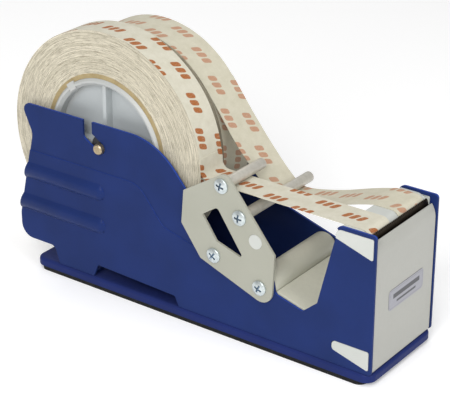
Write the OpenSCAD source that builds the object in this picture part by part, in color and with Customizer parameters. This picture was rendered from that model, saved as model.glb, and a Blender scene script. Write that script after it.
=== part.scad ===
// Bench tape dispenser for two rolls on three-inch cores.
// X runs from the rolls to the nose, Y across the width, Z up from the table.
// Outlines are drawn in the X-Z plane with X measured from the roll axle.
// Each corner of an outline is [x, z, radius].

/* [Body] */
// Width over the outside of the two side panels
panel_span = 60.6; // [60.2:0.2:61.4]
// Thickness of the painted steel sheet
sheet = 1.5; // [1.4:0.05:1.5]
// Distance from the axle to the front edge of the base
reach = 174.5; // [174.3:0.1:175]
// Length of the base behind the axle
base_tail = 51; // [48:0.5:56]
// Width of the base
base_width = 62.6; // [62.6:0.2:65]
// Height of the base plate's top face
base_top = 7; // [6.9:0.1:7]
// Thickness of the rubber pad
pad_thickness = 2.3; // [2:0.1:2.4]

/* [Rolls] */
// Height of the axle above the table
axle_height = 86.5; // [86.3:0.1:86.8]
// Diameter of the axle
axle_diameter = 6; // [5.8:0.1:6]
// Outer radius of the near roll
near_roll_radius = 64.5; // [50:0.5:64.5]
// Outer radius of the far roll
far_roll_radius = 59; // [50:0.5:59]
// Inner radius of the cardboard cores
core_bore = 38.1; // [38:0.1:38.2]
// Wall of the cardboard cores
core_wall = 2.5; // [2:0.1:3]
// Width of the near tape
near_width = 19; // [12:1:19]
// Width of the far tape
far_width = 24; // [12:1:24]

/* [Guides] */
// Diameter of the two guide rods
rod_diameter = 6; // [5:0.5:6]
// Length of the short guide rod
short_rod_length = 35; // [30:1:50]
// Length of the long guide rod
long_rod_length = 63; // [56:1:63]
// Diameter of the tube that ties the panels together
tube_diameter = 16; // [14:1:16]
// Thickness of the strips of tape
tape = 0.3; // [0.2:0.05:0.3]
// Number of teeth on the cutter blade
tooth_count = 38; // [30:1:44]

/* [Hidden] */
$fn = 96;
arc_steps = 8;
gap = 0.05;
clearance = 0.1;
past = 1;

// The object's origin is at the middle of its length, so the axle is behind it
axle_x = (near_roll_radius - reach) / 2;

// Planes across the width
panel_out = panel_span / 2;
panel_in = panel_out - sheet;
recess = 0.5;
bracket_out = panel_out + sheet;
screw_head_height = 2.1;
axle_far = bracket_out + screw_head_height;
axle_near = 32.6;

// Stack of pieces along the axle
near_face = -25.5;
far_face = 2;
hub_lip = 1.3;
boss_end = 26.2;
near_boss_inner = -5.5;
far_boss_inner = 1.3;
play = 0.25;
fit = 0.06;
axle_r = axle_diameter / 2;

// Heights of the working surfaces at the nose
nose_top = base_top + 78;
platform = nose_top - 1.2;
tape_level = platform + tape / 2 + gap;
nose_front = reach - 0.3;

// Guide hardware, [x, z] from the axle
short_rod = [82.7, 87.7];
long_rod = [94.1, 72.9];
rear_bracket_screw = [77.7, 46.7];
tube = [106.9, 36.7];
plug = [104, 62.1];
slot_bend = [-8.7, 91.85];

// The strips lie on the platform from here and end behind the blade
platform_rear = 153;
tape_bend = 162.5;
tape_end = [167, platform - 2.3];

// Pieces of the nose
insert_rear = 152;
insert_front = 170;
insert_wall = 2.2;
blade_foot = [171, 73];
blade_tip = [168.2, 82];
blade_thickness = 0.8;
cover_thickness = 1.2;
cover_front = nose_front - 0.5;
cover_bend = 72.5;
cover_bend_radius = 12;
cover_bend_angle = 37;
guard_rear = [114.95, 35.12];
guard_front = [150.4, 25.6];
guard_sheet = 1.2;

// Colours
blue = [0.18, 0.25, 0.47];
grey = [0.72, 0.72, 0.67];
cover_grey = [0.73, 0.73, 0.69];
off_white = [0.85, 0.86, 0.84];
black = [0.08, 0.08, 0.08];
steel = [0.70, 0.71, 0.72];
iron = [0.25, 0.25, 0.26];
dark_steel = [0.17, 0.14, 0.12];
aluminium = [0.78, 0.77, 0.72];
brass = [0.78, 0.70, 0.58];
hub_grey = [0.78, 0.78, 0.76];
card = [0.66, 0.58, 0.44];
paper = [0.86, 0.84, 0.76];

// ---- Outline helpers ----

function unit(v) = v / norm(v);

// Points that round one corner of an outline
function corner(before, here, after) =
    let (
        p = [here[0], here[1]],
        a = unit([before[0], before[1]] - p),
        b = unit([after[0], after[1]] - p),
        half = acos(a * b) / 2,
        centre = p + unit(a + b) * here[2] / sin(half),
        start = p + a * here[2] / tan(half) - centre,
        finish = p + b * here[2] / tan(half) - centre,
        first = atan2(start[1], start[0]),
        turn = atan2(start[0] * finish[1] - start[1] * finish[0], start * finish)
    )
    here[2] == 0 ? [p] :
    [for (i = [0 : arc_steps])
        centre + here[2] * [cos(first + turn * i / arc_steps), sin(first + turn * i / arc_steps)]];

// A closed outline with its corners rounded
function rounded(corners) =
    let (n = len(corners))
    [for (i = [0 : n - 1]) each corner(corners[(i + n - 1) % n], corners[i], corners[(i + 1) % n])];

// An open path with its inner corners rounded
function rounded_path(corners) =
    let (n = len(corners))
    [for (i = [0 : n - 1])
        each (i == 0 || i == n - 1
            ? [[corners[i][0], corners[i][1]]]
            : corner(corners[i - 1], corners[i], corners[i + 1]))];

// A cubic curve from a to d, leaving towards b and arriving from c
function curve(a, b, c, d, steps) =
    [for (i = [0 : steps])
        let (t = i / steps, s = 1 - t)
        a * s * s * s + b * 3 * s * s * t + c * 3 * s * t * t + d * t * t * t];

// The direction square to a path at point i
function normal_at(path, i) =
    let (
        before = path[max(i - 1, 0)],
        after = path[min(i + 1, len(path) - 1)],
        along = unit(after - before)
    )
    [-along[1], along[0]];

// The outline of a strip of even thickness that follows a path
function ribbon(path, thickness) =
    let (n = len(path))
    concat(
        [for (i = [0 : n - 1]) path[i] + normal_at(path, i) * thickness / 2],
        [for (i = [n - 1 : -1 : 0]) path[i] - normal_at(path, i) * thickness / 2]);

// An X-Z outline made solid from y1 to y2
module across(y1, y2)
    translate([axle_x, y2, 0])
        rotate([90, 0, 0])
            linear_extrude(y2 - y1)
                children();

// A round bar along Y, centred on at = [x, z]
module bar(at, radius, y1, y2)
    translate([axle_x + at[0], y2, at[1]])
        rotate([90, 0, 0])
            cylinder(r = radius, h = y2 - y1);

// A plate in the X-Y plane with round corners
module plate(x1, x2, width, corner_radius, z1, z2)
    translate([axle_x, 0, z1])
        linear_extrude(z2 - z1)
            polygon(rounded([
                [x1, -width / 2, corner_radius], [x2, -width / 2, corner_radius],
                [x2, width / 2, corner_radius], [x1, width / 2, corner_radius]]));

// The same plate with its upper edges rounded
module soft_plate(x1, x2, width, corner_radius, z1, z2, edge) {
    side = width / 2 - edge;
    ends = [x1 + corner_radius, x2 - corner_radius];
    plate(x1, x2, width, corner_radius, z1, z2 - edge);
    plate(x1 + edge, x2 - edge, width - 2 * edge, corner_radius - edge, z1, z2);
    for (y = [-side, side])
        translate([axle_x + ends[0], y, z2 - edge])
            rotate([0, 90, 0])
                cylinder(r = edge, h = ends[1] - ends[0]);
    for (x = [x1 + edge, x2 - edge])
        translate([axle_x + x, corner_radius - width / 2, z2 - edge])
            rotate([-90, 0, 0])
                cylinder(r = edge, h = width - 2 * corner_radius);
    for (x = ends)
        for (y = [-1, 1])
            translate([axle_x + x, y * (width / 2 - corner_radius), z2 - edge])
                rotate_extrude()
                    translate([corner_radius - edge, 0])
                        circle(r = edge, $fn = 32);
}

// ---- Fasteners ----

screw_head_radius = 4.1;
screw_radius = 1.6;
cross_width = 1;
cross_length = 4.6;
cross_depth = 1.2;

// A pan-head screw with a cross recess; its head stands on z = 0 and it points down
module pan_screw(length, head_radius = screw_head_radius, head_height = screw_head_height) {
    rim = head_height / 2;
    crown = (head_radius * head_radius + rim * rim) / (2 * rim);
    difference() {
        intersection() {
            cylinder(r = head_radius, h = head_height);
            translate([0, 0, head_height - crown])
                sphere(r = crown);
        }
        for (turn = [0, 90])
            rotate([0, 0, turn])
                translate([-cross_length / 2, -cross_width / 2, head_height - cross_depth])
                    cube([cross_length, cross_width, cross_depth + past]);
    }
    translate([0, 0, -length])
        cylinder(r = screw_radius, h = length);
}

// Screws on the near side point along +Y, those on the far side along -Y
module near_screw(at, length, turn)
    translate([axle_x + at[0], -bracket_out, at[1]])
        rotate([90, turn, 0])
            pan_screw(length);

rivet_rows = [-20, 66, 134];
rivet_y = 24;
rivet_head_radius = 2.8;
rivet_head_height = 0.9;
cover_rivet_x = nose_front - 8;
cover_rivet_y = 16;

module rivet_at(x, y, top, bottom)
    translate([axle_x + x, y, 0]) {
        translate([0, 0, bottom])
            cylinder(r = screw_radius, h = top - bottom);
        translate([0, 0, top])
            cylinder(r = rivet_head_radius, h = rivet_head_height);
    }

module rivet_hole_at(x, y)
    translate([axle_x + x, y, 0])
        cylinder(r = screw_radius + gap, h = base_top + 2 * sheet);

// ---- Base ----

base_corner = 6;
base_edge = 1.8;
base_inside = base_top - sheet;
pad_rear = 3 - base_tail;
pad_front = reach - 4.5;
pad_inset = 0.6;
ballast_rear = 6 - base_tail;
ballast_front = reach - 8;
ballast_inset = 8;

module base_pad()
    color(black)
        plate(pad_rear, pad_front, base_width - pad_inset, base_corner - 1, 0, pad_thickness);

module base_plate()
    color(blue)
        difference() {
            soft_plate(-base_tail, reach, base_width, base_corner, pad_thickness, base_top, base_edge);
            plate(-base_tail + sheet, reach - sheet, base_width - 2 * sheet, base_corner - sheet,
                pad_thickness - past, base_inside);
            for (x = rivet_rows)
                for (side = [-1, 1])
                    rivet_hole_at(x, side * rivet_y);
            for (side = [-1, 1])
                rivet_hole_at(cover_rivet_x, side * cover_rivet_y);
            at_block_screws()
                translate([0, 0, -past])
                    cylinder(r = screw_radius + gap, h = sheet + 2 * past);
        }

block_rear = 118;
block_front = 149.5;
block_half_width = 17.5;
block_screw_rows = [124, 142];
head_clearance = 0.4;

// Places a thing under the base plate on the block's screw lines, facing up
module at_block_screws()
    for (x = block_screw_rows)
        translate([axle_x + x, 0, base_inside])
            children();

module ballast_plate()
    color(iron)
        difference() {
            plate(ballast_rear, ballast_front, base_width - ballast_inset, base_corner,
                pad_thickness + gap, base_inside - clearance);
            at_block_screws()
                translate([0, 0, -screw_head_height - past])
                    cylinder(r = screw_head_radius + head_clearance, h = screw_head_height + 2 * past);
        }

// Height of the guard plate's underside at x
function guard_under(x) =
    guard_rear[1] + (guard_front[1] - guard_rear[1]) * (x - guard_rear[0])
        / (guard_front[0] - guard_rear[0]) - guard_sheet / 2 - clearance;

block_screw_length = 12;

module ballast_block()
    color(iron)
        difference() {
            across(-block_half_width, block_half_width)
                polygon([[block_rear, base_top + gap], [block_front, base_top + gap],
                    [block_front, guard_under(block_front)], [block_rear, guard_under(block_rear)]]);
            at_block_screws()
                cylinder(r = screw_radius + gap, h = block_screw_length + past);
        }

module ballast_screws()
    color(steel)
        at_block_screws()
            rotate([180, 0, 0])
                pan_screw(block_screw_length);

// ---- Side panels ----

bead_heights = [60, 40];
bead_end = 2.5;
bead_rise = 2.3;
bead_half_width = 5;
bead_length = 80;
bead_radius = (bead_half_width * bead_half_width + bead_rise * bead_rise) / (2 * bead_rise);
flange_width = 9;

panel_outline = rounded([
    [-57, 100.3, 4], [38.6, 100.3, 40], [78, 53.8, 8], [114, 43, 3],
    [115.7, 35, 2], [132.2, 30.5, 2], [141, 38, 3], [150.6, 77, 8],
    [150.6, nose_top, 4.5], [nose_front, nose_top, 2], [nose_front, base_top, 2],
    [-33, base_top, 0], [-36.5, 17.3, 3.5], [-61, 17.3, 8], [-61, 32, 12], [-49.3, 83, 8]]);

recess_outline = rounded([
    [-70, 72.7, 0], [26, 72.7, 14], [42.5, 52.2, 10], [63, 46.8, 4], [74, 62, 0],
    [74, 110, 0], [-70, 110, 0]]);

base_slot_outline = rounded([
    [-8, base_top - past, 0], [-4.4, 14.8, 1.5], [49.8, 12.8, 1.5], [53, base_top - past, 0]]);

// The two triangular windows; inset draws the lug that fills each one.
// The upper window reaches further forward, to its toe, in the near panel.
near_toe = [172.8, 70.8];
far_toe = [169.5, 71.8];
function upper_window(toe, inset) = rounded([
    [toe[0] - inset, 83 - inset, 0.8], [toe[0] - inset, toe[1] + inset, 1],
    [150.8, 77.6 + inset, 0], [150.8, 83 - inset, 3.4]]);
function lower_window(inset) = rounded([
    [172.4 - inset, 20.3 - inset, 1], [172.4 - inset, 8.8 + inset, 1],
    [150.2 + inset, 14.9 + inset, 2], [150.2 + inset, 20.3 - inset, 2.4]]);

// The upper window is open towards the rear
window_mouth = [149, 77.9];
window_mouth_size = [3, 5.1];

// Reaches past the panel's top edge
slot_rise = 12;

module axle_slot() {
    seat_r = axle_r + clearance;
    slant = atan2(slot_bend[1] - axle_height, slot_bend[0]);
    translate([0, axle_height])
        circle(r = seat_r);
    translate([0, axle_height])
        rotate(slant)
            translate([0, -seat_r])
                square([norm(slot_bend - [0, axle_height]), 2 * seat_r]);
    translate(slot_bend)
        circle(r = seat_r);
    translate([slot_bend[0] - seat_r, slot_bend[1]])
        square([2 * seat_r, slot_rise]);
}

// A pressed bead that runs from the rear edge and ends in a round nose
module bead(height, radius, y)
    translate([axle_x + bead_end - bead_half_width, y, height]) {
        sphere(r = radius);
        rotate([0, -90, 0])
            cylinder(r = radius, h = bead_length);
    }

module side_panel(screw_holes, toe) {
    bead_y = panel_out + bead_rise - bead_radius;
    difference() {
        union() {
            difference() {
                across(panel_in, panel_out)
                    polygon(panel_outline);
                across(panel_out - recess, panel_out + past)
                    polygon(recess_outline);
            }
            across(panel_in - recess, panel_out - recess)
                intersection() {
                    polygon(panel_outline);
                    polygon(recess_outline);
                }
            intersection() {
                across(panel_out - gap, panel_out + bead_rise + past)
                    polygon(panel_outline);
                for (height = bead_heights)
                    bead(height, bead_radius, bead_y);
            }
            for (run = [[-32.5, -9], [54, 150]])
                translate([axle_x + run[0], panel_in - flange_width, base_top])
                    cube([run[1] - run[0], flange_width + sheet / 2, sheet]);
        }
        for (height = bead_heights)
            bead(height, bead_radius - sheet, bead_y);
        across(panel_in - recess - past, panel_out + past) {
            axle_slot();
            polygon(base_slot_outline);
            polygon(upper_window(toe, 0));
            translate(window_mouth)
                square(window_mouth_size);
            polygon(lower_window(0));
        }
        for (x = rivet_rows)
            rivet_hole_at(x, rivet_y);
        for (at = screw_holes)
            bar(at, screw_radius + gap, panel_in - past, panel_out + past);
    }
}

module far_side_panel()
    color(blue)
        side_panel([tube], far_toe);

module near_side_panel()
    color(blue)
        mirror([0, 1, 0])
            side_panel([tube, rear_bracket_screw], near_toe);

module panel_rivets()
    color(steel)
        for (x = rivet_rows)
            for (side = [-1, 1])
                rivet_at(x, side * rivet_y, base_top + sheet, base_inside);

// ---- Nose ----

insert_half = panel_in - 0.4;
insert_bottom = base_top + cover_thickness + gap + rivet_head_height + 0.3;
lug_clearance = 0.15;

insert_outline = rounded([
    [insert_rear, platform, 1], [tape_bend + 2, platform, 4], [167.2, 80.6, 0.8],
    [169.7, 72.6, 2], [insert_front, 68, 0], [insert_front, insert_bottom, 1],
    [insert_rear, insert_bottom, 1]]);
insert_hollow = rounded([
    [insert_rear - past, platform - insert_wall, 0], [163, platform - insert_wall, 2],
    [165, 79, 1], [insert_front - insert_wall, 70, 2],
    [insert_front - insert_wall, insert_bottom + insert_wall, 1],
    [insert_rear - past, insert_bottom + insert_wall, 0]]);

blade_lean = atan2(blade_foot[0] - blade_tip[0], blade_tip[1] - blade_foot[1]);
blade_length = norm(blade_tip - blade_foot);
blade_half = panel_in - 0.5;
blade_screw_y = 18;
blade_screw_up = 2.6;
blade_screw_radius = 1;
blade_screw_length = 4.5;
blade_screw_head = 0.6;
blade_screw_head_radius = 1.8;

// Places things on the blade: x forward, y across, z up along its slope
module on_blade()
    translate([axle_x + blade_foot[0], 0, blade_foot[1]])
        rotate([0, -blade_lean, 0])
            children();

module lugs(toe) {
    polygon(upper_window(toe, lug_clearance));
    polygon(lower_window(lug_clearance));
}

module nose_insert()
    color(off_white)
        difference() {
            union() {
                across(-insert_half, insert_half)
                    polygon(insert_outline);
                across(insert_half, panel_out - clearance)
                    lugs(far_toe);
                across(clearance - panel_out, -insert_half)
                    lugs(near_toe);
            }
            across(-insert_half + insert_wall, insert_half - insert_wall)
                polygon(insert_hollow);
            on_blade()
                for (side = [-1, 1])
                    translate([-blade_screw_length - past, side * blade_screw_y, blade_screw_up])
                        rotate([0, 90, 0])
                            cylinder(r = blade_screw_radius + clearance, h = blade_screw_length + 2 * past);
        }

tooth_height = 1.1;

module cutter_blade() {
    pitch = 2 * blade_half / tooth_count;
    color(dark_steel)
        on_blade()
            difference() {
                translate([-blade_thickness, -blade_half, 0])
                    cube([blade_thickness, 2 * blade_half, blade_length]);
                for (i = [0 : tooth_count])
                    translate([-blade_thickness - past, -blade_half + i * pitch, blade_length])
                        rotate([0, 90, 0])
                            linear_extrude(blade_thickness + 2 * past)
                                polygon([[-past, -pitch * 0.6], [tooth_height, 0], [-past, pitch * 0.6]]);
                for (side = [-1, 1])
                    translate([-blade_thickness - past, side * blade_screw_y, blade_screw_up])
                        rotate([0, 90, 0])
                            cylinder(r = blade_screw_radius + clearance, h = blade_thickness + 2 * past);
            }
}

// Small flat screws that clamp the blade to the insert
module blade_screws()
    color(steel)
        on_blade()
            for (side = [-1, 1])
                translate([0, side * blade_screw_y, blade_screw_up])
                    rotate([0, -90, 0]) {
                        cylinder(r = blade_screw_radius, h = blade_screw_length);
                        translate([0, 0, -blade_screw_head])
                            cylinder(r = blade_screw_head_radius, h = blade_screw_head);
                    }

cover_half = panel_in - 0.45;
cover_flange = 11;

module front_cover() {
    middle = cover_front - cover_thickness / 2;
    bend = [middle - cover_bend_radius, cover_bend];
    bend_steps = 16;
    path = concat(
        [[middle - cover_flange, base_top + cover_thickness / 2 + gap]],
        corner([middle - cover_flange, base_top + cover_thickness / 2 + gap],
            [middle, base_top + cover_thickness / 2 + gap, 1.2], [middle, cover_bend]),
        [for (i = [0 : bend_steps])
            let (a = cover_bend_angle * i / bend_steps)
            bend + cover_bend_radius * [cos(a), sin(a)]]);
    color(cover_grey)
        difference() {
            across(-cover_half, cover_half)
                polygon(ribbon(path, cover_thickness));
            for (side = [-1, 1])
                rivet_hole_at(cover_rivet_x, side * cover_rivet_y);
        }
}

module cover_rivets()
    color(steel)
        for (side = [-1, 1])
            rivet_at(cover_rivet_x, side * cover_rivet_y, base_top + cover_thickness + gap,
                base_inside);

label_size = [33.6, 11.5];
label_centre = [1.5, 42.8];
label_corner = 2.2;
label_thickness = 0.3;

module label_plate()
    color(steel)
        translate([axle_x + cover_front, label_centre[0], label_centre[1]])
            rotate([90, 0, 90])
                linear_extrude(label_thickness)
                    polygon(rounded([for (p = [[-1, -1], [1, -1], [1, 1], [-1, 1]])
                        [p[0] * label_size[0] / 2, p[1] * label_size[1] / 2, label_corner]]));

// ---- Cross tube and guard plate ----

tube_screw_depth = 12;

module cross_tube()
    color(grey)
        difference() {
            bar(tube, tube_diameter / 2, -panel_in + gap, panel_in - gap);
            for (side = [0, 1])
                mirror([0, side, 0])
                    bar(tube, screw_radius + gap, panel_in - tube_screw_depth, panel_in + past);
        }

module cross_tube_screw()
    color(steel)
        translate([axle_x + tube[0], panel_out, tube[1]])
            rotate([-90, 20, 0])
                pan_screw(tube_screw_depth);

guard_half = panel_in - 0.5;
guard_flange = 5;

// A sloping plate with a flange turned down along each side
module guard_plate()
    color(grey) {
        across(-guard_half, guard_half)
            polygon(ribbon([guard_rear, guard_front], guard_sheet));
        for (side = [0, 1])
            mirror([0, side, 0])
                across(guard_half - guard_sheet, guard_half)
                    polygon([guard_rear, guard_front, guard_front - [0, guard_flange],
                        guard_rear - [0, guard_flange]]);
    }

// ---- Rod bracket and guide rods ----

bracket_outline = rounded([
    [57.9, 78.6, 0.8], [85.2, 95.6, 4.5], [115.8, 57.4, 1], [114.1, 25.8, 7],
    [68.7, 42.4, 2], [56.3, 59.6, 1]]);
bracket_opening = rounded([
    [70.1, 68.2, 0.6], [79.8, 74.8, 2], [97, 49.6, 1.2], [79.1, 55.2, 2]]);
plug_radius = 4;
plug_rise = 0.3;
rod_screw_depth = 10;
rod_r = rod_diameter / 2;

module rod_bracket()
    color(grey)
        difference() {
            across(-bracket_out, -panel_out - gap)
                difference() {
                    polygon(bracket_outline);
                    polygon(bracket_opening);
                }
            for (at = [short_rod, long_rod, rear_bracket_screw, tube])
                bar(at, screw_radius + gap, -bracket_out - past, -panel_out + past);
            bar(plug, plug_radius + gap, -bracket_out - past, -panel_out + past);
        }

module guide_rod(at, length) {
    start = -panel_out;
    chamfer = 1;
    difference() {
        translate([axle_x + at[0], start, at[1]])
            rotate([-90, 0, 0])
                rotate_extrude()
                    polygon([[0, 0], [rod_r, 0], [rod_r, length - chamfer],
                        [rod_r - chamfer, length], [0, length]]);
        bar(at, screw_radius + gap, start - past, start + rod_screw_depth);
    }
}

module short_guide_rod()
    color(aluminium)
        guide_rod(short_rod, short_rod_length);

module long_guide_rod()
    color(aluminium)
        guide_rod(long_rod, long_rod_length);

module rod_screws()
    color(steel) {
        near_screw(short_rod, rod_screw_depth, 15);
        near_screw(long_rod, rod_screw_depth, 5);
    }

nut_height = 3.2;
nut_radius = 4;
thread_past_nut = 1;

module bracket_screws()
    color(steel) {
        near_screw(rear_bracket_screw, sheet * 2 + nut_height + thread_past_nut, 35);
        near_screw(tube, sheet + tube_screw_depth, 25);
    }

module bracket_nut()
    color(steel)
        difference() {
            translate([axle_x + rear_bracket_screw[0], -panel_in + gap + nut_height,
                rear_bracket_screw[1]])
                rotate([90, 0, 0])
                    cylinder(r = nut_radius, h = nut_height, $fn = 6);
            bar(rear_bracket_screw, screw_radius + gap, -panel_out, 0);
        }

module bracket_plug()
    color(off_white)
        bar(plug, plug_radius, -bracket_out - plug_rise, -panel_out);

// ---- Axle and reels ----

axle_at = [0, axle_height];
axle_chamfer = 0.6;
collar_radius = 7;

module axle() {
    length = axle_near + axle_far;
    color(brass)
        translate([axle_x, -axle_near, axle_height])
            rotate([-90, 0, 0])
                rotate_extrude()
                    polygon([[0, 0], [axle_r - axle_chamfer, 0], [axle_r, axle_chamfer],
                        [axle_r, length - axle_chamfer], [axle_r - axle_chamfer, length],
                        [0, length]]);
}

// A ring round the axle
module axle_ring(radius, y1, y2)
    difference() {
        bar(axle_at, radius, y1, y2);
        bar(axle_at, axle_r + fit, y1 - past, y2 + past);
    }

module axle_collars()
    color(black)
        for (side = [0, 1])
            mirror([0, side, 0])
                axle_ring(collar_radius, boss_end + play, panel_in - recess - clearance);

spacer_radius = 4.6;

module hub_spacer()
    color(steel)
        axle_ring(spacer_radius, near_boss_inner + play, far_boss_inner - play);

hub_rim = core_bore - clearance;
hub_wall = 3.9;
hub_bevel = 1.2;
inner_bevel = [1.6, 1.9];
web_depth = 7;
web_thickness = 1.8;
boss_radius = 8;
rib_thickness = 2.2;
rib_count = 4;
hook_angles = [126, 246, 6];
hook_reach = 1;
hook_span = 8;

// A roll hub with its open face at z = face and its back at z = back
module hub(face, back, boss_face, boss_back) {
    rim_face = face + hub_lip;
    web_face = rim_face - web_depth;
    difference() {
        union() {
            rotate_extrude()
                polygon([[hub_rim - hub_wall, back], [hub_rim, back],
                    [hub_rim, rim_face - hub_bevel], [hub_rim - hub_bevel, rim_face],
                    [hub_rim - hub_wall + inner_bevel[0], rim_face],
                    [hub_rim - hub_wall, rim_face - inner_bevel[1]]]);
            translate([0, 0, web_face - web_thickness])
                cylinder(r = hub_rim - hub_wall / 2, h = web_thickness);
            for (i = [0 : rib_count - 1])
                rotate([0, 0, 90 + i * 360 / rib_count])
                    translate([boss_radius - 1, -rib_thickness / 2, web_face - past])
                        cube([hub_rim - hub_wall - boss_radius + 2, rib_thickness,
                            web_depth - past + 0.2]);
            translate([0, 0, boss_back])
                cylinder(r = boss_radius, h = boss_face - boss_back);
            for (angle = hook_angles)
                rotate([0, 0, angle - hook_span / 2])
                    translate([0, 0, face + 0.2])
                        rotate_extrude(angle = hook_span)
                            translate([hub_rim - hub_wall + 0.5, 0])
                                square([hub_wall - 0.5 + hook_reach, hub_lip - 0.2]);
        }
        translate([0, 0, boss_back - past])
            cylinder(r = axle_r + fit, h = boss_face - boss_back + 2 * past);
    }
}

// Turns z into -Y on the near side and into +Y on the far side
module near_reel()
    translate([axle_x, 0, axle_height])
        rotate([90, 0, 0])
            children();

module far_reel()
    mirror([0, 1, 0])
        near_reel()
            children();

module near_hub()
    color(hub_grey)
        near_reel()
            hub(-near_face, -near_face - near_width, boss_end, -near_boss_inner);

module far_hub()
    color(hub_grey)
        far_reel()
            hub(far_face + far_width, far_face, boss_end, far_boss_inner);

module tube_shape(inner, outer, y1, y2)
    difference() {
        bar(axle_at, outer, y1, y2);
        bar(axle_at, inner, y1 - past, y2 + past);
    }

module near_core()
    color(card)
        tube_shape(core_bore, core_bore + core_wall, near_face, near_face + near_width);

module far_core()
    color(card)
        tube_shape(core_bore, core_bore + core_wall, far_face, far_face + far_width);

module near_roll()
    color(paper)
        tube_shape(core_bore + core_wall + gap, near_roll_radius, near_face, near_face + near_width);

module far_roll()
    color(paper)
        tube_shape(core_bore + core_wall + gap, far_roll_radius, far_face, far_face + far_width);

// ---- Strips of tape ----

// From the rear of the platform, over its rounded front, to the blade
platform_run = rounded_path([
    [platform_rear, tape_level, 0], [tape_bend + 2.6, tape_level, 4], [tape_end[0], tape_end[1], 0]]);

// The near strip is pulled straight off its roll under the short rod
near_run = concat([[near_roll_radius + 0.5, tape_level + 0.2]], platform_run);

// The far strip leaves its roll along the tangent, wraps under the long rod, sags and rises
peel_angle = 36.9;
peel_far = axle_at + (far_roll_radius + tape / 2 + gap) * [cos(peel_angle), sin(peel_angle)];
wrap_rear = 36;
wrap_front = 4;
wrap_steps = 4;
far_steps = 20;

// A point of the strip under the long rod, a degrees behind its lowest point
function under_rod(a) = long_rod - (rod_r + tape / 2 + gap) * [sin(a), cos(a)];

function heading(a) = [cos(a), -sin(a)];

far_drop = curve(peel_far, peel_far + 23 * heading(90 - peel_angle),
    under_rod(wrap_rear) - 20 * heading(wrap_rear), under_rod(wrap_rear), 16);
far_wrap = [for (i = [1 : wrap_steps])
    under_rod(wrap_rear + (wrap_front - wrap_rear) * i / wrap_steps)];
far_sag = curve(under_rod(wrap_front), under_rod(wrap_front) + 18 * heading(wrap_front),
    [133, tape_level - 4], platform_run[0], far_steps);
far_run = concat(far_drop, far_wrap, [for (i = [1 : far_steps - 1]) far_sag[i]], platform_run);

module near_tape()
    color(paper)
        across(near_face, near_face + near_width)
            polygon(ribbon(near_run, tape));

module far_tape()
    color(paper)
        across(far_face, far_face + far_width)
            polygon(ribbon(far_run, tape));

base_pad();
base_plate();
ballast_plate();
ballast_block();
near_side_panel();
far_side_panel();
panel_rivets();
nose_insert();
front_cover();
cover_rivets();
label_plate();
cutter_blade();
blade_screws();
ballast_screws();
cross_tube();
cross_tube_screw();
guard_plate();
rod_bracket();
bracket_screws();
bracket_nut();
bracket_plug();
short_guide_rod();
long_guide_rod();
rod_screws();
axle();
axle_collars();
hub_spacer();
near_hub();
far_hub();
near_core();
far_core();
near_roll();
far_roll();
near_tape();
far_tape();
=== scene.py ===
"""Looks of the two-roll bench tape dispenser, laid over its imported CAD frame. Lengths are metres."""
import math
import random

import bpy
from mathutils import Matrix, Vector, noise


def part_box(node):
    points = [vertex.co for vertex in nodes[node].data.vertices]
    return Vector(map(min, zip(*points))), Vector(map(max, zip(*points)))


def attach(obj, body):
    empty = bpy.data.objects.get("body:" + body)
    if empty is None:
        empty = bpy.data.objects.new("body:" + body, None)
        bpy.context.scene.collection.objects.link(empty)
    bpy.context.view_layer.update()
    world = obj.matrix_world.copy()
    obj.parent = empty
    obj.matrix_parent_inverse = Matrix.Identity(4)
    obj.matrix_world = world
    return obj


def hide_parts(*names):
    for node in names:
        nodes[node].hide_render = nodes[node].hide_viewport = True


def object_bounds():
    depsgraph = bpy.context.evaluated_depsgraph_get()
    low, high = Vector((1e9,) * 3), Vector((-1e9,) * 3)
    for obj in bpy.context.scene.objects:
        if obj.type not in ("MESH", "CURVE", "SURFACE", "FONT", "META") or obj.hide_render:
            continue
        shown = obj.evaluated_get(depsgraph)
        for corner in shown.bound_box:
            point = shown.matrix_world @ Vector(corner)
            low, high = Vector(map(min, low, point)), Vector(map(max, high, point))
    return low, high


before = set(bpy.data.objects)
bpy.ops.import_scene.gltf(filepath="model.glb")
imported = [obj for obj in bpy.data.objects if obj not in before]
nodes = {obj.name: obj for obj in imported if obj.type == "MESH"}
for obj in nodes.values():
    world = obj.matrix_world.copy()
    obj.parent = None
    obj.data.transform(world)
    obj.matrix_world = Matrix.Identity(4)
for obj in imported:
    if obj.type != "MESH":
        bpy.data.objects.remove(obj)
cad_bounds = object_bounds()

MM = 0.001
TINY = 1e-9

# A noise texture seldom leaves this range, so a finish spreads it over its whole effect.
NOISE_LOW, NOISE_HIGH = 0.3, 0.7


def srgb(red, green, blue):
    """A screen colour of 0 to 255 per channel, as linear RGBA."""
    parts = [c / 255 for c in (red, green, blue)]
    linear = [c / 12.92 if c <= 0.04045 else ((c + 0.055) / 1.055) ** 2.4 for c in parts]
    return (*linear, 1.0)


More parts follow.
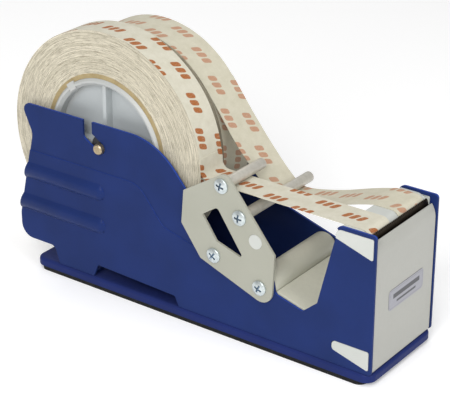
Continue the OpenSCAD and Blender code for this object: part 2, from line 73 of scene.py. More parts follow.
class Finish:
    """A Principled material, with short calls that add the nodes feeding it."""

    def __init__(self, name, **fixed):
        self.material = bpy.data.materials.new(name)
        self.material.use_nodes = True
        self.tree = self.material.node_tree
        self.shader = self.tree.nodes["Principled BSDF"]
        for socket, value in fixed.items():
            self.shader.inputs[socket.replace("_", " ")].default_value = value

    def feed(self, socket, value):
        if isinstance(value, bpy.types.NodeSocket):
            self.tree.links.new(value, socket)
        else:
            socket.default_value = value

    def add(self, kind, sockets=None, **settings):
        node = self.tree.nodes.new("ShaderNode" + kind)
        for key, value in settings.items():
            setattr(node, key, value)
        for key, value in (sockets or {}).items():
            self.feed(node.inputs[key], value)
        return node

    def math(self, operation, first, second=0.0):
        return self.add("Math", {0: first, 1: second}, operation=operation).outputs[0]

    def plus(self, first, second):
        return self.math("ADD", first, second)

    def minus(self, first, second):
        return self.math("SUBTRACT", first, second)

    def times(self, first, second):
        return self.math("MULTIPLY", first, second)

    def size(self, value):
        """The value without its sign."""
        return self.math("ABSOLUTE", value)

    def distance(self, first, second):
        """The length of the vector whose two parts are given."""
        return self.math("SQRT", self.plus(self.times(first, first), self.times(second, second)))

    def span(self, value, low, high, out_low=0.0, out_high=1.0):
        """value taken from low..high to out_low..out_high, held at the ends."""
        sockets = {"Value": value, "From Min": low, "From Max": high, "To Min": out_low, "To Max": out_high}
        return self.add("MapRange", sockets).outputs["Result"]

    def vary(self, value, out_low, out_high):
        """A noise value taken from its usual range to out_low..out_high."""
        return self.span(value, NOISE_LOW, NOISE_HIGH, out_low, out_high)

    def mix(self, factor, first, second):
        """Colour first at factor 0, second at 1. The node numbers its colour inputs 6 and 7."""
        return self.add("Mix", {0: factor, 6: first, 7: second}, data_type="RGBA").outputs[2]

    def mix_vectors(self, factor, first, second):
        """The same for vectors, which the node numbers 4 and 5."""
        return self.add("Mix", {0: factor, 4: first, 5: second}, data_type="VECTOR").outputs[1]

    def tint(self, body, mask, strength, colour):
        """The body colour, turned towards colour by strength where the mask is 1."""
        return self.mix(self.times(mask, strength), body, colour)

    def noise(self, vector, scale, detail=2.0, roughness=0.5):
        """Noise with scale cells to the metre."""
        sockets = {"Vector": vector, "Scale": scale, "Detail": detail, "Roughness": roughness}
        return self.add("TexNoise", sockets).outputs["Fac"]

    def streaks(self, vector, cells, detail=3.0, roughness=0.6):
        """Noise drawn out along one way; cells is how many there are to the metre along each axis."""
        drawn = self.add("Mapping", {"Vector": vector, "Scale": cells}).outputs[0]
        return self.noise(drawn, 1.0, detail, roughness)

    def patches(self, vector, scale, low, high, detail=4.0, roughness=0.5):
        """Soft-edged patches: 0 where the noise is under low, 1 where it is over high."""
        return self.span(self.noise(vector, scale, detail, roughness), low, high)

    def scratches(self, vector, cells, share):
        """Sparse thin lines, 1 on a line; share is how much of the surface may carry them.
        A line is where fine noise is at its middle value."""
        middle, core, edge = 0.5, 0.004, 0.012
        thread = self.streaks(vector, cells, detail=1.0, roughness=0.5)
        line = self.span(self.size(self.minus(thread, middle)), core, edge, 1.0, 0.0)
        carrying = self.patches(vector, 60.0, low=1.0 - share, high=1.08 - share, detail=2.0)
        return self.times(line, carrying)

    def place(self):
        """Where a point is in the object's own frame, in metres."""
        return self.add("TexCoord").outputs["Object"]

    def axes(self, vector):
        return self.add("SeparateXYZ", {0: vector}).outputs

    def facing(self):
        """The surface's direction in the object's own frame, as x, y, z."""
        return self.axes(self.add("TexCoord").outputs["Normal"])

    def tape_map(self):
        return self.add("UVMap", uv_map="tape").outputs[0]

    def colour(self, value):
        self.feed(self.shader.inputs["Base Color"], value)

    def rough(self, value):
        self.feed(self.shader.inputs["Roughness"], value)

    def relief(self, *layers):
        """Each layer is (height socket, depth in metres)."""
        normal = None
        for height, depth in layers:
            sockets = {"Height": height, "Distance": depth, "Strength": 1.0}
            if normal is not None:
                sockets["Normal"] = normal
            normal = self.add("Bump", sockets).outputs[0]
        self.feed(self.shader.inputs["Normal"], normal)


# ---- Materials: one function for each kind ----

def paint(name, base, edge, dusty, gloss, coat, lit_cut_edges=False, wear=1.0, shine=0.22):
    """Sprayed enamel on sheet metal: orange peel, faint clouds, rubbed spots, dust on what faces up.
    lit_cut_edges paints a highlight on the sheet's cut edges where they face up; wear scales all the marks."""
    f = Finish(name, Coat_Weight=coat, Coat_Roughness=0.12, Specular_IOR_Level=shine)
    at = f.place()
    across = f.facing()
    clouds = f.patches(at, 38.0, low=NOISE_LOW, high=NOISE_HIGH, detail=3.0)
    grain = f.noise(at, 2400.0, detail=3.0, roughness=0.6)
    peel = f.noise(at, 620.0)
    rubbed = f.scratches(at, (240.0, 900.0, 1700.0), share=0.42)
    body = f.tint(base, clouds, 0.3 * wear, edge)
    body = f.tint(body, grain, 0.14 * wear, edge)
    if lit_cut_edges:
        # Painted highlight: cut edges that face up are turned towards the edge colour, as if lit from
        # above.
        beside, upward = f.span(f.size(across[1]), 0.55, 0.15), f.span(across[2], 0.1, 0.6)
        body = f.tint(body, f.times(beside, upward), 0.8, edge)
    body = f.tint(body, rubbed, 0.25 * wear, edge)
    level = f.span(across[2], 0.5, 0.95)
    dust = f.times(level, f.patches(at, 330.0, low=0.42, high=0.72, roughness=0.7))
    f.colour(f.tint(body, dust, 0.16 * wear, dusty))
    worn = f.plus(f.vary(peel, gloss - 0.05, gloss + 0.06), f.times(rubbed, 0.12))
    f.rough(f.plus(worn, f.times(dust, 0.2)))
    f.relief((peel, 0.05 * MM), (grain, 0.018 * MM))
    return f.material


def metal(name, base, worn, rough, cells, metallic=1.0):
    """Turned, drawn or plated metal with its working marks along one direction."""
    f = Finish(name, Metallic=metallic)
    at = f.place()
    marks = f.streaks(at, cells)
    stains = f.patches(at, 300.0, low=0.42, high=0.75, roughness=0.65)
    pits = f.patches(at, 2600.0, low=0.62, high=0.78, detail=2.0)
    f.colour(f.mix(f.plus(f.times(marks, 0.35), f.times(stains, 0.5)), base, worn))
    f.rough(f.plus(f.span(marks, 0.25, 0.75, rough - 0.07, rough + 0.09), f.times(stains, 0.14)))
    f.relief((marks, 0.04 * MM), (pits, -0.03 * MM))
    return f.material


# The cross recess of a screw head, where its shade is painted: its floor lies deeper than the first of
# these below the head's top, and its walls end at the second.
RECESS_FLOOR, RECESS_WALL = 1.1 * MM, 1.0 * MM


def screw_plate(name, node):
    """Bright plating on the near side's screws, with painted darker blue shade in the cross recess of each
    head.
    """
    f = Finish(name, Metallic=0.75)
    at = f.place()
    deep = f.minus(f.axes(at)[1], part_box(node)[0].y)
    square = f.size(f.facing()[1])
    floor_part = f.times(f.math("GREATER_THAN", deep, RECESS_FLOOR), f.math("GREATER_THAN", square, 0.9))
    wall_part = f.times(f.math("LESS_THAN", deep, RECESS_WALL), f.math("LESS_THAN", square, 0.35))
    recess = f.math("MAXIMUM", floor_part, wall_part)
    turned = f.streaks(at, (1400.0, 300.0, 1400.0))
    stains = f.patches(at, 420.0, low=0.4, high=0.75, roughness=0.65)
    body = f.tint(srgb(218, 226, 226), stains, 0.6, srgb(150, 160, 160))
    body = f.tint(body, turned, 0.3, srgb(170, 180, 184))
    # Painted shade: the recess floor and walls are turned dark blue.
    f.colour(f.tint(body, recess, 0.75, srgb(44, 88, 124)))
    f.rough(f.vary(turned, 0.24, 0.38))
    f.relief((turned, 0.03 * MM))
    return f.material


# Out from the axle, the painted shade on the hubs' recessed webs gives way to their rim's colour between
# these radii.
WEB_SHADE_RADIUS, RIM_RADIUS = 31.0 * MM, 34.5 * MM


def plastic(name, base, shade, rough, coarse=1.0, web_shade=None):
    """Moulded plastic: fine spark texture, flow clouds and a few scuffs.
    web_shade is a painted shade, a cooler grey, on the hubs inside their rims."""
    f = Finish(name, Specular_IOR_Level=0.45)
    at = f.place()
    flow = f.patches(at, 30.0, low=NOISE_LOW, high=NOISE_HIGH, detail=2.0)
    spark = f.noise(at, 1900.0 * coarse, detail=3.0, roughness=0.6)
    scuffs = f.scratches(at, (1500.0, 260.0, 700.0), share=0.45)
    body = f.tint(base, flow, 0.5, shade)
    if web_shade:
        low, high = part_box("near_core")
        middle = (low + high) / 2
        x, _, z = f.axes(at)
        out = f.distance(f.minus(x, middle.x), f.minus(z, middle.z))
        # Painted shade: inside the rim the hub turns to the shade colour.
        body = f.mix(f.span(out, WEB_SHADE_RADIUS, RIM_RADIUS, 1.0, 0.0), body, web_shade)
    f.colour(f.tint(body, scuffs, 0.5, shade))
    f.rough(f.plus(f.vary(spark, rough - 0.06, rough + 0.08), f.times(scuffs, 0.15)))
    f.relief((spark, 0.04 * MM))
    return f.material


def rubber(name, base, dust):
    """Moulded rubber with open pores and grey dirt in patches."""
    f = Finish(name, Specular_IOR_Level=0.3)
    at = f.place()
    pores = f.noise(at, 1500.0, detail=4.0, roughness=0.7)
    dirt = f.patches(at, 160.0, low=0.45, high=0.75, roughness=0.7)
    f.colour(f.tint(base, dirt, 0.35, dust))
    f.rough(f.vary(pores, 0.72, 0.92))
    f.relief((pores, 0.12 * MM))
    return f.material


def cast_iron(name, iron, rusty):
    """Rough castings with spots of rust."""
    f = Finish(name, Metallic=0.35, Specular_IOR_Level=0.4)
    at = f.place()
    lumps = f.noise(at, 420.0, detail=5.0, roughness=0.65)
    rust = f.patches(at, 90.0, low=0.55, high=0.72, detail=5.0, roughness=0.7)
    f.colour(f.tint(iron, rust, 0.7, rusty))
    f.rough(f.vary(lumps, 0.6, 0.85))
    f.relief((lumps, 0.3 * MM))
    return f.material


def card(name, light, dark, blotch):
    """Wound cardboard: grey-brown fibres and paler blots."""
    f = Finish(name, Specular_IOR_Level=0.25)
    at = f.place()
    fibres = f.streaks(at, (900.0, 2600.0, 900.0), detail=4.0, roughness=0.7)
    blots = f.patches(at, 180.0, low=0.35, high=0.7, detail=3.0)
    f.colour(f.tint(f.mix(fibres, light, dark), blots, 0.4, blotch))
    f.rough(f.vary(fibres, 0.78, 0.94))
    f.relief((fibres, 0.1 * MM))
    return f.material


# The print on the tape: marks of three slanted bars, on a slanting lattice.
# Each step of the lattice is (along, across) the tape.
STEP_ALONG = (18.5 * MM, -4.4 * MM)
STEP_OVER = (7.3 * MM, 13.6 * MM)
MARK_HALF_LENGTH = 6.3 * MM
MARK_HALF_HEIGHT = 2.9 * MM
BAR_PITCH = 4.2 * MM
BAR_DUTY = 0.38
BAR_SLANT = -0.35

# A bar is a rounded box: the sum of these powers of how narrow and how tall a point lies in it.
# The ink fades out from the first limit of that sum to the second.
NARROW_POWER, TALL_POWER = 3.0, 4.0
INK_FULL, INK_GONE = 0.8, 1.15
INK_EDGE = 0.2 * MM


def printed_tape(name, paper, shade, ink, strength):
    """Crepe paper with a printed indicator pattern. The map is metres along and across the tape."""
    f = Finish(name, Specular_IOR_Level=0.3, Sheen_Weight=0.06)
    flat = f.tape_map()
    along, across = f.axes(flat)[:2]
    turn = STEP_ALONG[0] * STEP_OVER[1] - STEP_ALONG[1] * STEP_OVER[0]

    def lattice(a, b):
        """a * along + b * across, less its nearest whole number."""
        total = f.plus(f.times(along, a), f.times(across, b))
        return f.minus(total, f.math("ROUND", total))

    first = lattice(STEP_OVER[1] / turn, -STEP_OVER[0] / turn)
    second = lattice(-STEP_ALONG[1] / turn, STEP_ALONG[0] / turn)

    def offset(k):
        """How far a point is from its mark's middle: 0 for along the tape, 1 for across it."""
        return f.plus(f.times(first, STEP_ALONG[k]), f.times(second, STEP_OVER[k]))

    lean = f.plus(offset(0), f.times(offset(1), BAR_SLANT))
    nearest_bar = f.times(f.math("ROUND", f.math("DIVIDE", lean, BAR_PITCH)), BAR_PITCH)
    narrow = f.math("DIVIDE", f.size(f.minus(lean, nearest_bar)), BAR_DUTY * BAR_PITCH)
    tall = f.math("DIVIDE", f.size(offset(1)), MARK_HALF_HEIGHT)
    bulge = f.plus(f.math("POWER", narrow, NARROW_POWER), f.math("POWER", tall, TALL_POWER))
    ends = f.span(f.size(lean), MARK_HALF_LENGTH + INK_EDGE, MARK_HALF_LENGTH - INK_EDGE)
    inside = f.times(f.span(bulge, INK_GONE, INK_FULL), ends)

    crepe = f.streaks(flat, (2300.0, 420.0, 1.0), roughness=0.65)
    creases = f.streaks(flat, (520.0, 60.0, 1.0))
    mottle = f.noise(flat, 170.0, detail=3.0, roughness=0.6)
    broken = f.span(crepe, 0.25, 0.5, 0.65, 1.0)
    body = f.mix(f.span(mottle, 0.35, 0.75, 0.0, 0.7), paper, shade)
    body = f.mix(f.span(crepe, 0.35, 0.75, 0.0, 0.35), body, shade)
    f.colour(f.tint(body, f.times(inside, broken), strength, ink))
    f.rough(f.vary(crepe, 0.62, 0.86))
    f.relief((creases, 0.12 * MM), (crepe, 0.07 * MM))
    return f.material


# How much of a noise colour is mixed into the map of a roll's side, so that its rings wander.
RING_WANDER = 0.0006


def roll_side(name, paper, shade, dark):
    """The wound edges of the tape: fine uneven rings. The map is metres round and out from the axle."""
    f = Finish(name, Specular_IOR_Level=0.25)
    flat = f.tape_map()
    drift = f.add("TexNoise", {"Vector": flat, "Scale": 90.0}).outputs["Color"]
    wavy = f.mix_vectors(RING_WANDER, flat, drift)
    rings = f.streaks(wavy, (14.0, 1900.0, 1.0), detail=4.0, roughness=0.78)
    threads = f.streaks(wavy, (190.0, 3000.0, 1.0), detail=4.0, roughness=0.8)
    bands = f.streaks(flat, (9.0, 320.0, 1.0))
    glue = f.span(f.streaks(wavy, (100.0, 1600.0, 1.0), detail=4.0, roughness=0.8), 0.5, 0.62)
    body = f.mix(f.vary(bands, 0.0, 0.5), paper, shade)
    body = f.mix(f.span(rings, 0.47, 0.56, 0.0, 0.8), body, shade)
    body = f.tint(body, glue, 0.54, dark)
    f.colour(f.mix(f.span(threads, 0.52, 0.6, 0.0, 0.6), body, dark))
    f.rough(f.vary(threads, 0.7, 0.9))
    f.relief((rings, 0.35 * MM), (threads, 0.18 * MM))
    return f.material


# The label: its border runs LABEL_BORDER outside a box that is LABEL_INSET smaller all round.
LABEL_INSET, LABEL_BORDER = 2.2 * MM, 1.3 * MM
BORDER_CORE, BORDER_EDGE = 0.16 * MM, 0.28 * MM
BORDER_STRENGTH = 0.25
PRINT_EDGE = 0.1 * MM


def label(name, node):
    """A brushed plate with a faint printed border and two plain bars."""
    f = Finish(name, Metallic=0.3)
    at = f.place()
    low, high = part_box(node)
    middle, half = (low + high) / 2, (high - low) / 2
    _, y, z = f.axes(at)
    up = f.minus(z, middle.z)
    out_y, out_z = f.size(f.minus(y, middle.y)), f.size(up)
    past_y = f.math("MAXIMUM", f.minus(out_y, half.y - LABEL_INSET), 0.0)
    past_z = f.math("MAXIMUM", f.minus(out_z, half.z - LABEL_INSET), 0.0)
    off_border = f.size(f.minus(f.distance(past_y, past_z), LABEL_BORDER))
    border = f.span(off_border, BORDER_CORE, BORDER_EDGE, BORDER_STRENGTH, 0.0)

    def bar(height, half_height, inset):
        """A printed bar at a height above the middle, stopping inset short of the plate's ends."""
        off = f.size(f.minus(up, height))
        row = f.span(off, half_height - PRINT_EDGE, half_height + PRINT_EDGE, 1.0, 0.0)
        return f.times(row, f.math("LESS_THAN", out_y, half.y - inset))

    upper = bar(height=1.4 * MM, half_height=1.3 * MM, inset=4.0 * MM)
    lower = bar(height=-2.2 * MM, half_height=0.6 * MM, inset=7.5 * MM)
    brushed = f.streaks(at, (300.0, 120.0, 4200.0))
    plate = f.mix(brushed, srgb(164, 164, 171), srgb(144, 144, 153))
    printed = f.times(f.math("MAXIMUM", border, f.plus(upper, lower)), 0.85)
    f.colour(f.mix(printed, plate, srgb(48, 47, 50)))
    f.rough(f.vary(brushed, 0.34, 0.48))
    f.relief((brushed, 0.02 * MM), (printed, 0.03 * MM))
    return f.material


# ---- Materials: what each slot and piece is made of ----

BLUE, BLUE_EDGE, BLUE_DUST = srgb(30, 45, 91), srgb(46, 72, 156), srgb(64, 74, 112)

# Finishes by the record's material slots.
finishes = {
    "blue_paint": paint(
        "blue_enamel", BLUE, BLUE_EDGE, BLUE_DUST,
        gloss=0.34, coat=0.04, lit_cut_edges=True, wear=0.4, shine=0.05),
    # Painted light: one grey enamel has three colours here, this one lighter for the parts in more shade.
    "grey_paint": paint(
        "grey_lightened_for_shade", srgb(210, 209, 193), srgb(200, 200, 187), srgb(176, 174, 164),
        gloss=0.42, coat=0.08),
    # Painted light: the cover's copy of the grey enamel is darker, for the light it takes.
    "cover_paint": paint(
        "cover_grey_darkened_for_light", srgb(167, 167, 161), srgb(176, 176, 170), srgb(150, 149, 144),
        gloss=0.42, coat=0.06),
    "pad_rubber": rubber("black_rubber", srgb(18, 18, 19), srgb(54, 52, 50)),
    "ballast_iron": cast_iron("cast_iron", srgb(66, 64, 63), srgb(112, 66, 42)),
    "zinc_steel": metal(
        "zinc_plate", srgb(206, 214, 218), srgb(150, 164, 176),
        rough=0.26, cells=(900.0, 500.0, 900.0), metallic=0.8),
    "white_plastic": plastic("white_nylon", srgb(197, 199, 194), srgb(182, 186, 180), rough=0.42),
    "label_metal": label("printed_plate", "label_plate"),
    # The blade's steel is given a dark colour.
    "blade_steel": metal(
        "dark_blade_steel", srgb(50, 43, 36), srgb(82, 72, 62),
        rough=0.36, cells=(700.0, 1500.0, 240.0)),
    "rod_metal": metal(
        "drawn_aluminium", srgb(204, 200, 190), srgb(178, 175, 164),
        rough=0.34, cells=(2200.0, 90.0, 2200.0), metallic=0.35),
    "axle_metal": metal(
        "axle_brass", srgb(192, 176, 146), srgb(142, 126, 100),
        rough=0.32, cells=(1900.0, 500.0, 1900.0)),
    "black_plastic": plastic("black_acetal", srgb(22, 22, 24), srgb(40, 40, 42), rough=0.5),
    # The hubs carry a painted shade on their webs inside the rims.
    "hub_plastic": plastic(
        "hub_styrene", srgb(184, 185, 182), srgb(170, 174, 174),
        rough=0.38, coarse=0.6, web_shade=srgb(180, 185, 186)),
    "core_card": card("core_cardboard", srgb(176, 158, 116), srgb(140, 121, 86), srgb(188, 172, 134)),
}

# Pieces with their own copy of their paint or plating: the bracket's and the base plate's copies are
# coloured to paint the light they get, and the near screws' plating paints shade in their cross recesses.
own_finishes = {
    # Painted light: the bracket's copy of the grey enamel is darker, for the light it takes.
    "rod_bracket": paint(
        "bracket_grey_darkened_for_light", srgb(162, 162, 149), srgb(176, 176, 164), srgb(140, 138, 130),
        gloss=0.44, coat=0.05),
    # Painted shade: the base plate's copy of the blue enamel is coloured to the look of the base in the
    # shade of its slot.
    "base_plate": paint(
        "base_blue_matched_to_shade", srgb(34, 44, 92), srgb(44, 64, 150), srgb(46, 50, 88),
        gloss=0.38, coat=0.03, wear=0.4, shine=0.05),
    "rod_screws": screw_plate("rod_screw_zinc", "rod_screws"),
    "bracket_screws": screw_plate("bracket_screw_zinc", "bracket_screws"),
}

near_print = printed_tape(
    "near_printed_tape", srgb(211, 207, 191), srgb(194, 189, 169), ink=srgb(160, 88, 26), strength=0.96)
far_print = printed_tape(
    "far_printed_tape", srgb(206, 201, 182), srgb(190, 185, 163), ink=srgb(178, 122, 90), strength=0.8)
side_paper = roll_side("tape_edges", srgb(232, 224, 204), srgb(186, 179, 158), srgb(116, 107, 88))

# ---- The CAD pieces: finishes and slightly rounded edges ----

REPLACED = ("near_roll", "far_roll", "near_tape", "far_tape")
PLAIN_EDGED = (
    "base_pad", "cutter_blade", "near_core", "far_core", "ballast_plate", "ballast_screws", "near_hub",
    "far_hub")
FINE_EDGED = (
    "label_plate", "bracket_screws", "rod_screws", "cross_tube_screw", "panel_rivets", "cover_rivets",
    "blade_screws", "bracket_nut", "axle", "axle_collars", "hub_spacer", "rod_bracket")
FINE_EDGE, EDGE = 0.08 * MM, 0.22 * MM
WELD_DISTANCE = 0.002 * MM
SHARP_CORNER = math.radians(32)


def round_edges(piece, width):
    """Joins the CAD mesh's points that meet, and rounds its sharp corners."""
    weld = piece.modifiers.new("weld", "WELD")
    weld.merge_threshold = WELD_DISTANCE
    bevel = piece.modifiers.new("edges", "BEVEL")
    bevel.width = width
    bevel.segments = 2
    bevel.limit_method = "ANGLE"
    bevel.angle_limit = SHARP_CORNER
    bevel.use_clamp_overlap = False
    bevel.loop_slide = False
    bevel.harden_normals = True


for name, piece in nodes.items():
    if name in REPLACED:
        continue
    for used in piece.material_slots:
        used.material = own_finishes.get(name) or finishes[used.material.name.split(".")[0]]
    if name not in PLAIN_EDGED:
        round_edges(piece, FINE_EDGE if name in FINE_EDGED else EDGE)


# ---- The tape: shared helpers ----

def mesh_piece(name, points, faces, flat, materials, face_materials=None):
    """A smooth mesh object whose 'tape' map holds flat, one (along, across) pair for each face corner."""
    mesh = bpy.data.meshes.new(name)
    mesh.from_pydata([tuple(p) for p in points], [], faces)
    layer = mesh.uv_layers.new(name="tape")
    for loop, pair in zip(layer.data, flat):
        loop.uv = pair
    for material in materials:
        mesh.materials.append(material)
    if face_materials:
        mesh.polygons.foreach_set("material_index", face_materials)
    mesh.shade_smooth()
    piece = bpy.data.objects.new(name, mesh)
    bpy.context.scene.collection.objects.link(piece)
    return piece


def stand_in(piece, node, body, rim_angle):
    """Keeps a tape piece's rims sharp, and puts it in its CAD node's place."""
    split = piece.modifiers.new("rims", "EDGE_SPLIT")
    split.split_angle = math.radians(rim_angle)
    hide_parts(node)
    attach(piece, body)


def wander(*at):
    """Smooth seeded noise from about -1 to 1."""
    return noise.noise(Vector(at))


def around(angle):
    """The (x, z) direction at an angle from straight ahead, turning up."""
    return Vector((math.cos(angle), math.sin(angle)))


def round_shape(node):
    """The x and z of a round node's axle, and its outer radius."""
    low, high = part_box(node)
    return (low.x + high.x) / 2, (low.z + high.z) / 2, (high.x - low.x) / 2


# ---- The tape: wound rolls ----

# A roll has this many columns round it, windings on each side and steps across its face.
COLUMNS, WINDINGS, FACE_STEPS = 288, 52, 10

# The maps of a roll meet at its lowest point, this far below the forward direction.
SEAM = math.pi / 2

# How far the outer turn and the printed face stray from true.
SWELL, FACE_RIPPLE = 0.22 * MM, 0.06 * MM

# The edge of each winding lies this far inside the roll's side, give or take its own
# stagger and a slow drift; the outer turn's edge lies further out.
EDGE_INSET, OUTER_INSET = 0.12 * MM, 0.04 * MM
STAGGER, DRIFT = 0.09 * MM, 0.12 * MM

# The swell, the ripple and the drift each read their noise on a circle of this radius.
# A larger circle gives more waves round the roll.
SWELL_CIRCLE, FACE_CIRCLE, DRIFT_CIRCLE = 2.2, 9, 1.6


def column_angle(i):
    """The angle of a roll's column, measured up from straight ahead."""
    return 2 * math.pi * i / COLUMNS - SEAM


def side_inset(share, stagger, c, s, seed):
    """How far inside the roll's side the winding at this share of the radius lies."""
    if share == 1:
        return OUTER_INSET
    k = round(share * WINDINGS)
    drift = wander(DRIFT_CIRCLE * c + 3 * seed, DRIFT_CIRCLE * s, 0.5 * k)
    ragged = STAGGER * stagger[k] * (0.6 + 0.4 * drift) + DRIFT * drift
    return max(0.0, EDGE_INSET + ragged)


def wound_roll(name, node, core, body, print_finish, seed):
    """A roll of tape: its sides show uneven windings, its face is the printed outer turn."""
    low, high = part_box(node)
    axle_x, axle_z, inner = round_shape(core)
    outer = (high.x - low.x) / 2
    draw = random.Random(seed)
    stagger = [draw.uniform(-1, 1) for _ in range(WINDINGS + 1)]
    stagger[-1] = stagger[-2] = 0.0

    # The profile runs up the near side, across the face and down the far side.
    profile = [("near", k / WINDINGS) for k in range(WINDINGS + 1)]
    profile += [("face", k / FACE_STEPS) for k in range(1, FACE_STEPS)]
    profile += [("far", 1 - k / WINDINGS) for k in range(WINDINGS + 1)]
    points, radii = [], []
    for i in range(COLUMNS):
        c, s = math.cos(column_angle(i)), math.sin(column_angle(i))
        swell = SWELL * wander(SWELL_CIRCLE * c + seed, SWELL_CIRCLE * s, 0.0)
        for part, share in profile:
            if part == "face":
                ripple = FACE_RIPPLE * wander(FACE_CIRCLE * c, FACE_CIRCLE * s, 5 * share + seed)
                radius = outer + swell + ripple
                y = low.y + (high.y - low.y) * share
            else:
                radius = inner + (outer + swell - inner) * share
                inset = side_inset(share, stagger, c, s, seed)
                y = low.y + inset if part == "near" else high.y - inset
            points.append((axle_x + radius * c, y, axle_z + radius * s))
            radii.append(radius)

    faces, flat, kinds = [], [], []
    rows = len(profile)
    for i in range(COLUMNS):
        after = (i + 1) % COLUMNS
        for j in range(rows):
            below = (j + 1) % rows
            face = [i * rows + j, i * rows + below, after * rows + below, after * rows + j]
            faces.append(face)
            on_face = "face" in (profile[j][0], profile[below][0])
            kinds.append(0 if on_face else 1)
            for step, corner in zip((0, 0, 1, 1), face):
                angle = column_angle(i + step)
                if on_face:
                    flat.append((-angle * outer, points[corner][1] - low.y))
                else:
                    flat.append((angle * (inner + outer) / 2, radii[corner]))
    piece = mesh_piece(name, points, faces, flat, [print_finish, side_paper], kinds)
    stand_in(piece, node, body, rim_angle=50)


# ---- The tape: free strips ----

# A strip has a row of points at each of these steps along it, and this many steps across.
STRIP_STEP = 0.9 * MM
ACROSS_STEPS = 10

# The near strip lies this far off its roll, and stays on it for this angle, in radians.
STRIP_LIFT, ROLL_HUG = 0.1 * MM, 0.1
HUG_STEPS, BEND_STEPS = 6, 8

# A strip flutters over this share of its length, from the roll; its long edges curl a little.
FREE_SHARE = 0.8
EDGE_CURL = 0.1 * MM
FLUTTER_WAVES, CURL_WAVES = 7, 22

# Metres are rounded to this many digits, whole microns, so that points that meet count once.
MICRON_DIGITS = 6


def centre_line(node):
    """The (x, z) line midway through a CAD strip, from the roll to the blade, and the strip's thickness."""
    mesh = nodes[node].data
    near = min(v.co.y for v in mesh.vertices) + 0.1 * MM
    outline = {(round(v.co.x, MICRON_DIGITS), round(v.co.z, MICRON_DIGITS))
               for v in mesh.vertices if v.co.y < near}
    outline = [Vector(p) for p in outline]
    middles, gaps = set(), []
    for p in outline:
        q = min((o for o in outline if o is not p), key=lambda o: (o - p).length)
        gaps.append((q - p).length)
        middles.add((round((p.x + q.x) / 2, MICRON_DIGITS), round((p.y + q.y) / 2, MICRON_DIGITS)))
    return [Vector(p) for p in sorted(middles)], sorted(gaps)[len(gaps) // 2]


def peeled(line, roll, radius):
    """The line with its first point changed to a bend that comes down off the roll's face."""
    axle_x, axle_z, outer = round_shape(roll)
    axle = Vector((axle_x, axle_z))
    outer += STRIP_LIFT
    lift = math.asin((line[0].y + radius - axle.y) / (outer + radius))
    middle = axle + around(lift) * (outer + radius)
    hug = [lift + ROLL_HUG * (1 - k / HUG_STEPS) for k in range(HUG_STEPS + 1)]
    bend = [math.pi + lift + (math.pi / 2 - lift) * k / BEND_STEPS for k in range(1, BEND_STEPS + 1)]
    start = [axle + around(a) * outer for a in hug]
    start += [middle + around(a) * radius for a in bend]
    return start + line[1:]


def smooth_curve(line, spacing):
    """Points close together on a smooth curve through every point of the line."""
    ends = [line[0] * 2 - line[1], *line, line[-1] * 2 - line[-2]]
    dense = []
    for a, b, c, d in zip(ends, ends[1:], ends[2:], ends[3:]):
        chord = (c - b).length
        pull = (c - a) * 0.5 * chord / max((c - a).length * 0.5, TINY)
        push = (d - b) * 0.5 * chord / max((d - b).length * 0.5, TINY)
        steps = max(2, math.ceil(chord / spacing))
        for t in (k / steps for k in range(steps)):
            here = b * (2 * t ** 3 - 3 * t ** 2 + 1) + pull * (t ** 3 - 2 * t ** 2 + t)
            dense.append(here + c * (3 * t ** 2 - 2 * t ** 3) + push * (t ** 3 - t ** 2))
    return dense + [line[-1]]


def resampled(line, step):
    """The line as evenly spaced points on a smooth curve through it, and its length."""
    dense = smooth_curve(line, step / 5)
    lengths = [0.0]
    for a, b in zip(dense, dense[1:]):
        lengths.append(lengths[-1] + (b - a).length)
    count = max(2, round(lengths[-1] / step))
    path, k = [], 0
    for i in range(count + 1):
        goal = lengths[-1] * i / count
        while k < len(lengths) - 2 and lengths[k + 1] < goal:
            k += 1
        share = (goal - lengths[k]) / max(lengths[k + 1] - lengths[k], TINY)
        path.append(dense[k].lerp(dense[k + 1], share))
    return path, lengths[-1]


def strip_points(path, low_y, width, thickness, seed, flutter):
    """The upper layer's points and then the lower layer's, row by row along the path."""
    points = []
    for side in (0.5, -0.5):
        for i, p in enumerate(path):
            along = (path[min(i + 1, len(path) - 1)] - path[max(i - 1, 0)]).normalized()
            up = Vector((-along.y, along.x))
            share = i / (len(path) - 1)
            free = math.sin(math.pi * min(1.0, share / FREE_SHARE)) if share < FREE_SHARE else 0.0
            for j in range(ACROSS_STEPS + 1):
                w = j / ACROSS_STEPS
                ripple = flutter * free * wander(FLUTTER_WAVES * share + seed, 1.6 * w, seed)
                curl = EDGE_CURL * free * (2 * w - 1) ** 4 * wander(CURL_WAVES * share, round(w), seed)
                at = p + up * (side * thickness + ripple + curl)
                points.append((at.x, low_y + width * w, at.y))
    return points


def strip_faces(count):
    """The faces of a closed sheet of two layers, each of count rows."""
    rows = ACROSS_STEPS + 1

    def index(layer, i, j):
        return (layer * count + i) * rows + j

    faces = []
    for i in range(count - 1):
        for j in range(ACROSS_STEPS):
            quad = [(i, j), (i + 1, j), (i + 1, j + 1), (i, j + 1)]
            faces.append([index(0, a, b) for a, b in quad])
            faces.append([index(1, a, b) for a, b in reversed(quad)])
        for j, flip in ((0, False), (ACROSS_STEPS, True)):
            wall = [index(0, i, j), index(1, i, j), index(1, i + 1, j), index(0, i + 1, j)]
            faces.append(wall[::-1] if flip else wall)
    for j in range(ACROSS_STEPS):
        for i, flip in ((0, True), (count - 1, False)):
            wall = [index(0, i, j), index(1, i, j), index(1, i, j + 1), index(0, i, j + 1)]
            faces.append(wall[::-1] if flip else wall)
    return faces


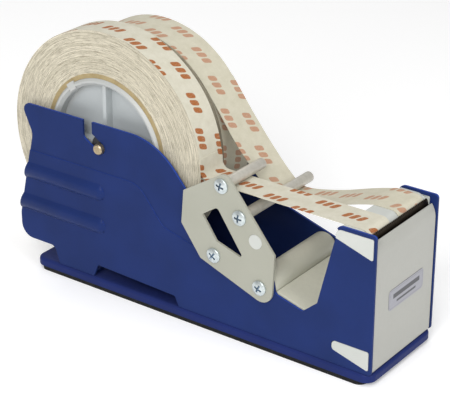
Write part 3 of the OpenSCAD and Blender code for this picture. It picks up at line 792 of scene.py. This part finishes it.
def strip(name, node, roll, print_finish, seed, flutter, bend=0.0):
    """A free strip of tape between its roll and the blade, a thin closed sheet with faint ripples.
    Its print runs on from the roll's. bend is the radius where it turns off the roll, 0 for a tangent."""
    low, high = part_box(node)
    width = high.y - low.y
    line, thickness = centre_line(node)
    if bend:
        line = peeled(line, roll, bend)
    axle_x, axle_z, outer = round_shape(roll)
    start_map = -math.atan2(line[0].y - axle_z, line[0].x - axle_x) * outer
    path, length = resampled(line, STRIP_STEP)
    count = len(path)
    points = strip_points(path, low.y, width, thickness, seed, flutter)
    faces = strip_faces(count)
    flat = []
    for face in faces:
        for corner in face:
            i, j = divmod(corner % (count * (ACROSS_STEPS + 1)), ACROSS_STEPS + 1)
            flat.append((start_map + i * length / (count - 1), width * j / ACROSS_STEPS))
    piece = mesh_piece(name, points, faces, flat, [print_finish])
    stand_in(piece, node, "root", rim_angle=60)
    return piece, length


# ---- The tape: both rolls and both strips ----

wound_roll("near_wound_tape", "near_roll", "near_core", "near_reel", near_print, seed=1.0)
wound_roll("far_wound_tape", "far_roll", "far_core", "far_reel", far_print, seed=2.0)
near_strip, near_length = strip(
    "near_free_tape", "near_tape", "near_roll", near_print, seed=3.0, flutter=0.2 * MM, bend=4.5 * MM)
far_strip, far_length = strip(
    "far_free_tape", "far_tape", "far_roll", far_print, seed=4.0, flutter=0.6 * MM)

# ---- Floor, lights and camera ----

WHITE = (1.0, 1.0, 1.0, 1.0)
FLOOR_HALF = 3.0
FLOOR_GLOW = 0.2
SKY_STRENGTH = 0.34

scene = bpy.context.scene
scene.view_settings.view_transform = "Standard"
lowest, highest = cad_bounds
centre = (lowest + highest) / 2

floor_mesh = bpy.data.meshes.new("studio_floor")
floor_mesh.from_pydata(
    [(x, y, lowest.z) for x, y in ((-1, -1), (1, -1), (1, 1), (-1, 1))], [], [(0, 1, 2, 3)])
floor = bpy.data.objects.new("studio_floor", floor_mesh)
floor.scale = (FLOOR_HALF, FLOOR_HALF, 1)
scene.collection.objects.link(floor)
ground = Finish(
    "pale_floor", Roughness=0.9, Specular_IOR_Level=0.1, Emission_Color=WHITE,
    Emission_Strength=FLOOR_GLOW)
ground.colour(ground.mix(ground.noise(ground.place(), 4.0), srgb(250, 250, 250), srgb(247, 247, 247)))
floor_mesh.materials.append(ground.material)

world = bpy.data.worlds.new("studio")
world.use_nodes = True
sky = world.node_tree.nodes["Background"]
sky.inputs["Color"].default_value = WHITE
sky.inputs["Strength"].default_value = SKY_STRENGTH
scene.world = world


def soft_box(name, place, size, power):
    """A square lamp that faces the middle of the object; size is in metres and power in watts."""
    light = bpy.data.lights.new(name, "AREA")
    light.shape = "SQUARE"
    light.size = size
    light.energy = power
    lamp = bpy.data.objects.new(name, light)
    lamp.location = place
    lamp.rotation_euler = (centre - Vector(place)).to_track_quat("-Z", "Y").to_euler()
    scene.collection.objects.link(lamp)


soft_box("key_light", place=(0.35, -0.95, 0.75), size=0.6, power=8.5)
soft_box("fill_light", place=(1.05, -0.15, 0.5), size=0.7, power=4.0)
soft_box("top_light", place=(0.0, -0.25, 1.35), size=1.0, power=4.6)
soft_box("rear_light", place=(-0.7, 0.6, 0.9), size=0.8, power=2.0)

# The camera stands ahead and to the near side, looking down at the rolls.
CAMERA_PLACE = (0.4721, -0.6296, 0.4312)
AZIMUTH, ELEVATION, ROLL = math.radians(36.47), math.radians(25.38), math.radians(0.05)
FOCAL_LENGTH = 129.15
NEAREST, FURTHEST = 0.05, 20.0

lens = bpy.data.cameras.new("camera")
lens.lens = FOCAL_LENGTH
lens.clip_start, lens.clip_end = NEAREST, FURTHEST
camera = bpy.data.objects.new("camera", lens)
camera.location = CAMERA_PLACE
camera.rotation_euler = (math.pi / 2 - ELEVATION, ROLL, AZIMUTH)
scene.collection.objects.link(camera)
scene.camera = camera
